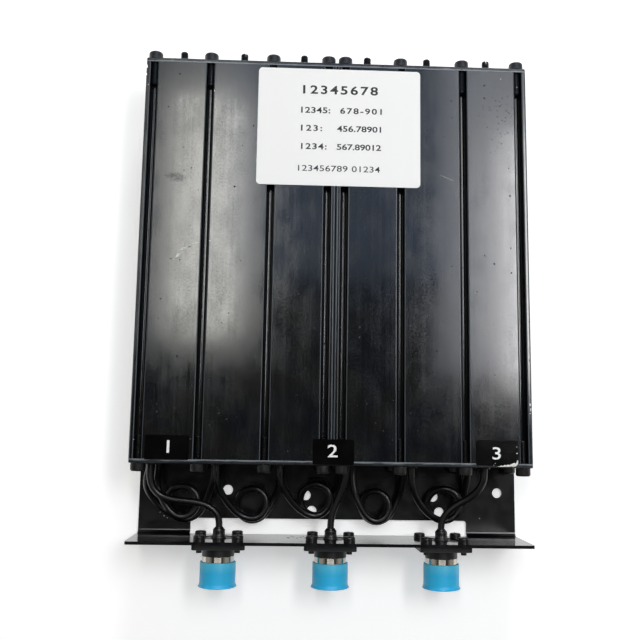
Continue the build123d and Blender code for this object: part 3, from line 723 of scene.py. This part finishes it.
cableRoutes = {
    "lead_1": (
        *fromBoot(0), (-55.6, -24.5, 19.2), (-58.9, -21.5, 19.7), (-64.2, -19.4, 20.2),
        (-71.0, -18.6, 20.7), (-77.8, -18.0, 21.2), (-83.7, -16.0, 21.8), (-87.2, -12.1, 22.5),
        (-88.4, -7.8, 23.2), *toBush("lead 1")),
    "lead_2": (
        *fromBoot(1), (1.4, -22.9, 19.1), (4.1, -16.8, 19.8), (6.5, -10.3, 21.0),
        *toBush("lead 2")),
    "lead_3": (
        *fromBoot(2), (57.5, -23.2, 19.3), (62.6, -18.9, 20.3), (68.6, -15.7, 21.8),
        (73.1, -11.5, 23.8), (75.1, -7.3, 25.3), *toBush("lead 3")),
    "stub_cable": (
        *fromBush("stub"), (-91.8, -8.3, 13.2), (-92.2, -13.2, 9.6), (-90.2, -17.9, 6.2),
        (-86.7, -22.0, 4.1), (-82.7, -25.3, 3.4), (-79.2, -27.1, 3.4)),
    "loop_cable_1": (
        *fromBush("loop 1 start"), (-86.6, -9.3, 12.2), (-85.1, -14.7, 14.4),
        (-82.0, -20.8, 14.9), (-77.9, -25.7, 14.6), (-73.3, -27.2, 14.5), (-68.5, -25.5, 14.5),
        (-65.6, -21.1, 14.5), (-66.0, -15.9, 14.5), (-69.4, -12.6, 14.0), (-74.3, -11.7, 12.2),
        (-79.3, -13.8, 9.3), (-82.4, -18.7, 7.8), (-81.3, -24.1, 7.6), (-77.1, -28.0, 7.6),
        (-71.0, -29.0, 7.6), (-65.3, -25.9, 7.7), (-61.9, -19.0, 8.4), (-59.4, -12.0, 10.7),
        (-58.2, -7.4, 12.4), *toBush("loop 1 end")),
    "loop_cable_2": (
        *fromBush("loop 2 start"), (-56.0, -8.6, 21.2), (-54.4, -14.2, 17.2),
        (-50.5, -20.8, 13.4), (-44.4, -26.6, 11.1), (-37.6, -28.2, 10.5), (-32.7, -25.0, 10.5),
        (-31.2, -19.3, 10.5), (-33.9, -14.2, 10.3), (-39.1, -12.6, 9.1), (-44.5, -15.2, 6.6),
        (-47.4, -20.7, 4.7), (-45.9, -26.2, 4.1), (-41.0, -29.7, 4.0), (-35.0, -28.8, 4.0),
        (-30.4, -23.9, 4.0), (-27.5, -17.8, 4.3), (-25.7, -12.0, 6.6), (-25.1, -7.4, 10.0),
        *toBush("loop 2 end")),
    "loop_cable_3": (
        *fromBush("loop 3 start"), (-24.8, -8.4, 21.4), (-22.8, -13.5, 17.8),
        (-19.0, -18.9, 14.2), (-14.0, -23.7, 11.8), (-7.9, -26.7, 10.7), (-1.9, -24.5, 10.5),
        (1.2, -18.2, 10.5), (-0.7, -12.4, 10.3), (-6.8, -9.8, 9.2), (-12.9, -12.7, 6.8),
        (-14.9, -18.7, 4.8), (-12.8, -24.3, 4.1), (-7.4, -27.0, 4.0), (-1.3, -25.0, 4.0),
        (2.7, -19.2, 4.1), (4.5, -13.0, 5.4), (5.0, -7.8, 9.0), *toBush("loop 3 end")),
    "loop_cable_4": (
        *fromBush("loop 4 start"), (11.9, -9.0, 11.8), (12.9, -14.9, 12.0), (15.4, -21.0, 11.6),
        (18.9, -26.4, 10.9), (23.9, -28.9, 10.5), (28.9, -26.6, 10.5), (30.9, -20.7, 10.5),
        (28.5, -15.3, 10.1), (23.2, -13.2, 8.3), (18.0, -16.0, 5.4), (16.1, -21.8, 4.2),
        (18.8, -27.5, 4.0), (24.5, -30.1, 4.0), (30.3, -27.7, 4.0), (34.2, -21.6, 4.2),
        (36.4, -14.9, 5.4), (37.2, -8.5, 8.9), *toBush("loop 4 end")),
    "loop_cable_5": (
        *fromBush("loop 5 start"), (40.2, -8.6, 21.4), (41.9, -13.9, 17.8), (45.3, -19.3, 14.3),
        (49.9, -24.2, 11.9), (55.0, -27.5, 10.7), (60.4, -27.9, 10.5), (65.2, -24.4, 10.5),
        (66.8, -18.7, 10.5), (64.2, -13.4, 10.2), (58.1, -11.4, 9.0), (52.3, -14.4, 6.3),
        (49.8, -20.4, 4.5), (52.3, -26.0, 4.0), (57.8, -28.9, 4.0), (64.3, -27.1, 4.0),
        (68.5, -20.8, 4.1), (70.1, -14.2, 5.6), (70.5, -8.0, 9.1), *toBush("loop 5 end")),
}
cableLengths = (53.1, 31.5, 39.5, 34.8, 119.2, 122.9, 118.9, 115.0, 124.2)
for (name, route), length in zip(cableRoutes.items(), cableLengths):
    points = [(x * mm, connectorEnd + y * mm, z * mm) for x, y, z in route]
    line = bpy.data.curves.new(name + "_jacket", "CURVE")
    line.dimensions = "3D"
    spline = line.splines.new("NURBS")
    spline.points.add(len(points) - 1)
    for point, place in zip(spline.points, points):
        point.co = (*place, 1.0)
    spline.order_u = cord["order"]
    spline.use_endpoint_u = True
    spline.resolution_u = cord["smoothness"]
    line.bevel_depth = cord["radius"] * mm
    line.bevel_resolution = cord["roundness"]
    line.use_fill_caps = True
    cable = newPiece(name + "_jacket", line, finishes["jacket"])
    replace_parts(cable, name)
print("cables laid")


# End screws: socket heads with a fine knurl, on shanks whose thread shows in the grooves

endScrew = {"headRadius": 3.5, "headHeight": 4.0, "ease": 0.2, "crown": 0.9,
            "crownAngles": (25, 50, 72, 90), "knurls": 48, "knurlDepth": 0.08, "socket": 3.0,
            "socketRim": 0.45, "socketBevel": 0.3, "socketDepth": 2.0, "shank": 1.85,
            "length": 13.0, "pitch": 0.7, "depth": 0.4, "tipRound": 0.9, "around": 20,
            "spinSeed": 5}
grooveInset = {"outer": 4.1, "height": 3.6}
ringsPerTurn = 7


def knurled(angle):
    ridge = 0.5 + 0.5 * math.cos(endScrew["knurls"] * angle)
    return endScrew["headRadius"] - endScrew["knurlDepth"] * (1 - ridge)


def socketHead(s):
    radius, top, socket, crown = s["headRadius"], s["headHeight"], s["socket"] / 2, s["crown"]
    crownRings = [(top - crown * (1 - math.sin(angle)), radius - crown * (1 - math.cos(angle)))
                  for angle in map(math.radians, s["crownAngles"])]
    hexagon = polygonRadius(6, socket)
    return ringSolid("socketHead", [
        (0, radius - s["ease"]), (s["ease"], knurled), (top - crown, knurled), *crownRings,
        (top, socket + s["socketRim"]), (top - s["socketBevel"], hexagon),
        (top - s["socketDepth"], hexagon)], 2 * s["knurls"])


def rodValues(s, length):
    return {"Radius": s["shank"] * mm, "Depth": s["depth"] * mm, "Pitch": s["pitch"] * mm,
            "Length": length * mm, "Tip Round": s["tipRound"] * mm, "Around": s["around"],
            "Rings": round(length / s["pitch"] * ringsPerTurn), "Material": finishes["oxide"]}


rodSizes = rodValues(endScrew, endScrew["length"])
screwMesh = baked("endScrew", socketHead(endScrew), headedTree, rodSizes)
halfPitch = (cavityX[1] - cavityX[0]) / 2
grooveX = []
for node, centre in (("left_extrusion", cavityX[1]), ("right_extrusion", cavityX[4])):
    low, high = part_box(node)
    grooveX += [low.x + grooveInset["outer"] * mm, centre - halfPitch, centre + halfPitch,
                high.x - grooveInset["outer"] * mm]
grooveZ = (frontFace - grooveInset["height"] * mm, backFace + grooveInset["height"] * mm)
# the connector end row takes the darker finish as painted shade, for its place in shadow under the
# plate
for name, node, face, flip, finish in (
        ("tuningEndScrewsDressed", "tuning_end_screws", tuningEnd, 0.0, "oxide"),
        ("connectorEndScrewsDressed", "connector_end_screws", connectorEnd, math.pi,
         "blackAndShadedScrew")):
    places = [(x, face, z) for z in grooveZ for x in grooveX]
    mesh = spreadOver(name, screwMesh.copy(), places, finishes[finish], flip, 2 * math.pi,
                      endScrew["spinSeed"])
    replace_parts(newPiece(name, mesh, finishes[finish]), node)
print("end screws made")


# Tuning screws: slotted threaded rods, each with the neck and button that carry its plunger

tuner = {"shank": 1.95, "pitch": 0.7, "depth": 0.4, "tipRound": 0.9, "around": 24,
         "neck": 1.3, "neckLength": 1.5, "button": 1.95, "buttonLength": 2.0, "ease": 0.2,
         "slotWidth": 0.8, "slotDepth": 2.0, "slotTurns": (82, 28, 95, 35, 74, 3)}
for number, (x, turn) in enumerate(zip(cavityX, tuner["slotTurns"]), 1):
    low, high = (corner.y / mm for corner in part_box(f"tuning_screw_{number}"))
    buttonTop = low + tuner["buttonLength"]
    neckTop = buttonTop + tuner["neckLength"]
    tail = placed(ringSolid("tunerTail", [
        (low, tuner["button"] - tuner["ease"]), (low + tuner["ease"], tuner["button"]),
        (buttonTop, tuner["button"]), (buttonTop, tuner["neck"]), (neckTop, tuner["neck"])],
        tuner["around"]), (x, 0, axisHeight))
    values = rodValues(tuner, high - neckTop)
    values |= {"Place": (x, neckTop * mm, axisHeight), "Turn": math.radians(turn),
               "Slot Width": tuner["slotWidth"] * mm, "Slot Depth": tuner["slotDepth"] * mm}
    mesh = baked(f"tuner_{number}_dressed", tail, slottedTree, values)
    piece = newPiece(f"tuner_{number}_dressed", mesh, finishes["oxide"],
                     f"tuner_{number}")
    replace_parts(piece, f"tuning_screw_{number}")

nut = {"across": 7.0, "corner": 3.6, "height": 3.2, "bore": 2.0, "bevel": 0.3, "around": 72,
       "spin": 1.0, "spinSeed": 8}


def lockNut(n):
    hexagon = polygonRadius(6, n["across"] / 2)
    eased = capped(hexagon, n["corner"])
    top, bore, bevel = n["height"], n["bore"], n["bevel"]
    return ringSolid("lockNut", [
        (0, eased), (bevel, hexagon), (top - bevel, hexagon), (top, eased),
        (top, bore + bevel), (top - bevel, bore), (bevel, bore), (0, bore + bevel)],
        n["around"], closed=True)


nutPlaces = [(x, tuningEnd, axisHeight) for x in cavityX]
nutsMesh = spreadOver("lockNuts", lockNut(nut), nutPlaces, finishes["zinc"], 0.0, nut["spin"],
                      nut["spinSeed"])
nuts = newPiece("lockNutsDressed", nutsMesh, finishes["zinc"])
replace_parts(nuts, "lock_nuts")
print("tuning screws and lock nuts made")


# Coaxial ports: square flange, plain neck, 5/8-24 thread and open mouth, as one turned solid

port = {"bossRadius": 8.0, "bossDepth": 1.2, "squareHalf": 12.7, "squareCorner": 1.0,
        "squareThick": 3.0, "edgeRound": 0.25, "barrelRadius": 7.9, "neckLength": 6.9,
        "neckBevel": 0.3, "threadGap": 0.5, "threadDepth": 0.6, "threadPitch": 25.4 / 24,
        "endBevel": 0.6, "mouthRadius": 4.3, "mouthBevel": 0.3, "mouthDepth": 5.5,
        "coreRadius": 3.5, "ringsPerTurn": 8, "around": 144, "turns": (4.0, -3.0, 1.5)}


def threadRings(start, end, crest, depth, pitch, ringsPerTurn):
    # rings going down from start to end, their radius following a right-hand thread
    count = round((start - end) / pitch * ringsPerTurn)
    rings = []
    for step in range(count + 1):
        y = start - (start - end) * step / count
        runOut = min(1.0, (start - y) / pitch, (y - end) / pitch)

        def radius(angle, y=y, runOut=runOut):
            phase = (y / pitch + angle / (2 * math.pi)) % 1.0
            return crest - depth * runOut * (1 - abs(2 * phase - 1))
        rings.append((y, radius))
    return rings


def coaxPort(p):
    top = bossFace / mm
    end = barrelEnd / mm
    flangeTop = top - p["bossDepth"]
    flangeEnd = flangeTop - p["squareThick"]
    neckEnd = flangeEnd - p["neckLength"]
    mouthEnd = end + p["mouthDepth"]
    square = roundedSquareRadius(p["squareHalf"], p["squareCorner"])
    eased = roundedSquareRadius(p["squareHalf"] - p["edgeRound"], p["squareCorner"])
    barrel, mouth, core, edge = p["barrelRadius"], p["mouthRadius"], p["coreRadius"], p["edgeRound"]
    thread = threadRings(neckEnd - p["threadGap"], end + p["endBevel"], barrel,
                         p["threadDepth"], p["threadPitch"], p["ringsPerTurn"])
    return ringSolid("coaxPort", [
        (top, p["bossRadius"]), (flangeTop, p["bossRadius"]), (flangeTop, eased),
        (flangeTop - edge, square), (flangeEnd + edge, square), (flangeEnd, eased),
        (flangeEnd, barrel), (neckEnd, barrel), (neckEnd - p["neckBevel"], barrel - p["neckBevel"]),
        *thread, (end, barrel - p["endBevel"]), (end, mouth + p["mouthBevel"]),
        (end + p["mouthBevel"], mouth), (mouthEnd, mouth), (mouthEnd, core), (top, core)],
        p["around"], closed=True)


for number, (x, turn) in enumerate(zip(portX, port["turns"]), 1):
    mesh = placed(coaxPort(port), (x, 0, axisHeight), (0, turn, 0))
    piece = newPiece(f"coaxPort_{number}_dressed", mesh, finishes["nickel"])
    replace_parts(piece, f"connector_{number}")


# Dust caps and cable boots, both turned, by profiles of (length, radius)

cap = {"outer": 8.72, "inner": 8.04, "floor": 1.7, "rim": 9.4, "around": 72,
       "closedEdge": ((0.0, 8.02), (0.04, 8.85), (0.18, 9.2)),
       "flareStart": 0.5, "flareEnd": 2.9, "flareCurve": 3.2,
       "flareSteps": (0.0, 0.12, 0.25, 0.4, 0.6, 0.8, 1.0),
       "lip": ((-0.5, 8.72), (-0.12, 8.64), (0.0, 8.44), (0.0, 8.24), (-0.2, 8.04))}
boot = {"profile": ((0.0, 3.55), (0.5, 3.6), (1.0, 3.35), (1.5, 3.08), (2.2, 2.95), (3.3, 2.95),
                    (3.9, 3.0), (4.3, 2.85), (4.7, 2.45), (5.1, 2.15), (5.4, 2.0)),
        "around": 48}


def dustCap(c, end, openEnd):
    # the wall flares into the closed end, and its mouth has a thin rounded lip
    reach = c["flareEnd"] - c["flareStart"]
    flare = [(end + c["flareStart"] + reach * step,
              c["outer"] + (c["rim"] - c["outer"]) * (1 - step) ** c["flareCurve"])
             for step in c["flareSteps"]]
    closedEdge = [(end + y, radius) for y, radius in c["closedEdge"]]
    lip = [(openEnd + y, radius) for y, radius in c["lip"]]
    rings = [*closedEdge, *flare, *lip, (end + c["floor"], c["inner"])]
    return ringSolid("dustCap", rings, c["around"])


for number, x in enumerate(portX, 1):
    low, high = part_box(f"dust_cap_{number}")
    mesh = placed(dustCap(cap, low.y / mm, high.y / mm), (x, 0, axisHeight))
    piece = newPiece(f"dustCap_{number}_dressed", mesh, finishes["vinyl"],
                     f"cap_{number}")
    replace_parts(piece, f"dust_cap_{number}")
    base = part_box(f"cable_boot_{number}")[0].y
    mesh = placed(ringSolid("boot", boot["profile"], boot["around"]), (x, base, axisHeight))
    piece = newPiece(f"boot_{number}_dressed", mesh, finishes["sleeve"])
    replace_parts(piece, f"cable_boot_{number}")
print("ports, caps and boots made")


# Printed numbers: text, left and right end, middle height, figure height, weight, in mm

printing = {"thickness": 0.03, "widening": 1.3, "extrude": 0.1, "smoothness": 4,
            "weightShare": 0.7}
labelRows = (
    ("12345678", -17.4, 20.8, 110.7, 4.7, 0.16),
    ("12345:", -18.2, -3.4, 99.8, 3.2, 0.1), ("678-901", 1.6, 22.8, 99.8, 3.2, 0.1),
    ("123:", -18.1, -7.4, 90.3, 3.2, 0.1), ("456.78901", 0.1, 22.5, 90.3, 3.2, 0.1),
    ("1234:", -17.9, -5.0, 80.7, 3.2, 0.1), ("567.89012", 0.1, 22.5, 80.7, 3.2, 0.1),
    ("123456789 01234", -19.2, 22.0, 69.3, 3.1, 0.03),
)
tagRows = (
    ("1", -79.9, -76.7, -69.6, 5.9, 0.05), ("2", -2.0, 2.0, -70.6, 5.9, 0.05),
    ("3", 77.1, 81.1, -70.6, 5.9, 0.05),
)


def textMesh(text, height, weight, spacing):
    # flat figures in the built-in face, scaled to their height in mm, with their own size
    font = bpy.data.curves.new("print", "FONT")
    font.body = text
    font.space_character = spacing
    font.extrude = printing["extrude"]
    font.resolution_u = printing["smoothness"]
    font.offset = weight / height * printing["weightShare"]
    holder = linked("print", font)
    mesh = evaluatedMesh(holder)
    bpy.data.objects.remove(holder)
    low, high = (Vector([pick(v.co[axis] for v in mesh.vertices) for axis in range(3)])
                 for pick in (min, max))
    scale = height * mm / (high.y - low.y)
    for vertex in mesh.vertices:
        vertex.co = (vertex.co - low) * scale
        vertex.co.x *= printing["widening"]
        vertex.co.z *= printing["thickness"] * mm / ((high.z - low.z) * scale)
    return mesh, (high.x - low.x) * scale * printing["widening"]


def printedRow(row, base):
    # the figures keep their shape, and the gaps between them fill the row
    text, left, right, middle, height, weight = row
    narrow, wide = (textMesh(text, height, weight, spacing)[1] for spacing in (1.0, 2.0))
    spare = (right - left) * mm - narrow
    spacing = 1 + spare / (wide - narrow) if len(text) > 1 else 1.0
    mesh, width = textMesh(text, height, weight, spacing)
    corner = ((left + right) / 2 * mm - width / 2, (middle - height / 2) * mm, base)
    return placed(mesh, corner)


for rows, base, finish, slotName, name in (
        (labelRows, labelTop, "darkInk", "black_tag_film", "labelPrint"),
        (tagRows, tagTop, "whiteInk", "white_label_film", "tagPrint")):
    for number, row in enumerate(rows, 1):
        newPiece(f"{name}_{number}", printedRow(row, base), finishes[finish])
print("numbers printed")


# Chips and dust, as thin flakes: two places along the face, length, width and turn

flake = {"thickness": 0.04, "corners": 7, "reach": (0.65, 1.0)}
flangeThickness = 1.5
tornEdge = ((79.0, -76.9), (80.4, -76.7), (81.2, -76.3), (82.0, -76.5), (82.9, -76.0),
            (83.7, -76.2), (84.5, -75.8), (85.4, -76.0), (86.2, -75.6), (87.0, -75.2),
            (87.8, -75.0), (88.4, -75.3), (88.8, -74.6), (89.1, -73.7), (89.5, -73.8),
            (89.5, -75.0), (89.1, -76.0), (88.2, -76.7), (86.9, -76.8), (85.9, -76.6),
            (84.8, -76.9), (83.5, -76.8), (82.4, -76.9), (81.0, -76.9))
tagSpecks = ((89.0, -70.5, 0.8, 0.8, 0), (89.0, -67.4, 0.4, 0.4, 0), (78.4, -75.4, 0.5, 0.3, 0),
             (77.6, -76.2, 0.4, 0.3, 0))
faceSpecks = ((84.0, 119.5, 0.7, 0.5, 20), (92.3, 115.3, 0.6, 0.4, 0),
              (-95.6, 110.9, 0.5, 0.8, 0), (-62.2, 108.6, 0.35, 1.4, 3),
              (-62.0, 31.0, 0.3, 0.6, 0), (-94.6, -66.5, 0.5, 0.3, 10))
edgeChips = ((96.0, -47.0, 0.8, 1.6, 6), (96.2, -49.4, 0.7, 2.0, -4), (95.9, -51.2, 0.5, 0.8, 0))
bracketSpecks = ((-86.2, -103.6, 0.7, 0.5, 30), (-84.0, -105.3, 1.1, 0.6, -20),
                 (-82.3, -106.4, 0.6, 0.5, 0), (-88.9, -99.2, 0.4, 0.4, 0),
                 (78.5, -104.8, 0.5, 0.4, 0))
flangeFlakes = ((-20.4, 17.6, 2.2, 2.6, 10), (-18.0, 14.4, 1.5, 2.2, 40),
                (-15.9, 18.2, 1.6, 1.9, 0), (-14.2, 15.0, 1.4, 2.4, 20),
                (-12.1, 17.4, 2.3, 1.8, -15), (-18.9, 11.0, 1.2, 1.6, 0),
                (-13.0, 11.6, 1.0, 1.4, 30))


def plate(outline, toPlace):
    # a thin plate with a given outline, laid on a face by toPlace(across, along, out of it)
    bm = bmesh.new()
    lower, upper = ([bm.verts.new(toPlace(a * mm, b * mm, out * mm)) for a, b in outline]
                    for out in (0, flake["thickness"]))
    bm.faces.new(lower)
    bm.faces.new(upper)
    bridge(bm, lower, upper)
    bmesh.ops.recalc_face_normals(bm, faces=bm.faces)
    return meshFrom(bm, "flake")


def flakes(name, marks, toPlace, finish, seed):
    # irregular flakes of a few sides each
    chance = random.Random(seed)
    bm = bmesh.new()
    for a, b, length, width, turn in marks:
        outline = []
        for step in range(flake["corners"]):
            angle = 2 * math.pi * step / flake["corners"]
            reach = chance.uniform(*flake["reach"]) / 2
            local = Vector((reach * length * math.cos(angle), reach * width * math.sin(angle)))
            local.rotate(Matrix.Rotation(math.radians(turn), 2))
            outline.append((a + local.x, b + local.y))
        bm.from_mesh(plate(outline, toPlace))
    newPiece(name, meshFrom(bm, name), finishes[finish])


def upOn(height):
    return lambda a, b, out: (a, b, height + out)


def insideFlange(a, b, out):
    return (a, flangeInner + out, b)


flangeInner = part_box("mounting_bracket")[0].y + flangeThickness * mm
newPiece("tornFilm", plate(tornEdge, upOn(tagTop)), finishes["chip"])
flakes("tagSpecks", tagSpecks, upOn(tagTop), "chip", 3)
flakes("faceSpecks", faceSpecks, upOn(frontFace), "chip", 4)
flakes("edgeChips", edgeChips, upOn(frontFace), "chip", 5)
flakes("bracketSpecks", bracketSpecks, upOn(backFace), "chip", 6)
flakes("flangeFlakes", flangeFlakes, insideFlange, "flake", 7)
print("wear added")


# Floor paper, and lamps by place and size in m, radiance and tint

stage = {"paperHalf": 1.6, "paperLift": 0.42, "backdrop": 0.86, "roomTint": "FFFBF3",
         "fade": (0.5, 0.85), "horizon": 0.39, "zenith": 0.01, "side": (-0.7, 0.5), "near": 0.9}
lamps = {
    "ceilingLeft": ((-0.173, 0.31, 1.01), (0.125, 0.43), 9.0, "FFFEF4"),
    "ceilingLeftHalo": ((-0.178, 0.38, 1.012), (0.19, 0.60), 1.8, "F4F8FF"),
    "ceilingRight": ((0.42, 0.24, 1.01), (0.15, 0.46), 13.0, "FFFDFC"),
    "ceilingRightHalo": ((0.385, 0.37, 1.012), (0.29, 0.66), 3.6, "F0F5FF"),
    "ceilingBlue": ((0.05, 0.45, 1.015), (0.40, 0.50), 0.8, "BBD6FF"),
    "nearStrip": ((0.0, -0.34, 1.01), (0.9, 0.14), 1.2, "FFFFFF"),
    "window": ((0.12, 1.35, 0.80), (0.34, 0.34), 18.0, "F9FBFF"),
}


def whitePaper():
    # matt white paper, lifted where the camera or a reflection sees it: it keeps its shadows
    material, shader, place = newMaterial("whitePaper", "F4F4F3", 0.75)
    rays = addNode(material.node_tree, "ShaderNodeLightPath").outputs
    seen = maths("MAXIMUM", rays["Is Camera Ray"], rays["Is Glossy Ray"])
    seen = maths("MAXIMUM", seen, rays["Is Transmission Ray"])
    feed(shader, "Emission Strength", maths("MULTIPLY", seen, stage["paperLift"]))
    shader.inputs["Emission Color"].default_value = (1, 1, 1, 1)
    addGrain(shader, place, 1.5, 0.01)
    return material


half = stage["paperHalf"]
paperMesh = bpy.data.meshes.new("paper")
corners = [(-half, -half, 0), (half, -half, 0), (half, half, 0), (-half, half, 0)]
paperMesh.from_pydata(corners, [], [(0, 1, 2, 3)])
paperMesh.materials.append(whitePaper())
linked("paper", paperMesh)

# the room is bright near the horizon and dark overhead, and the camera sees a plain backdrop
world = bpy.data.worlds.new("room")
scene.world = world
world.use_nodes = True
room = world.node_tree
room.nodes.clear()
towards = partsOf(addNode(room, "ShaderNodeTexCoord").outputs["Generated"])
height = ranged(towards["Z"], *stage["fade"], stage["horizon"], stage["zenith"])
side = ranged(towards["Y"], *stage["side"], stage["near"], 1.0)
cameraRay = addNode(room, "ShaderNodeLightPath").outputs["Is Camera Ray"]
seenDirectly = maths("MULTIPLY", cameraRay, stage["backdrop"])
strength = maths("MAXIMUM", maths("MULTIPLY", height, side), seenDirectly)
sky = addNode(room, "ShaderNodeBackground", {
    "Color": linearColour(stage["roomTint"]), "Strength": strength})
addNode(room, "ShaderNodeOutputWorld", {"Surface": sky})

for name, (place, size, radiance, tint) in lamps.items():
    light = bpy.data.lights.new(name, "AREA")
    light.shape = "RECTANGLE"
    light.size, light.size_y = size
    light.energy = radiance * math.pi * light.size * light.size_y
    light.color = linearColour(tint)[:3]
    holder = linked(name, light)
    holder.location = place
    if name == "window":
        holder.rotation_euler = (-Vector(place)).to_track_quat("-Z", "Y").to_euler()
print("floor and light set")
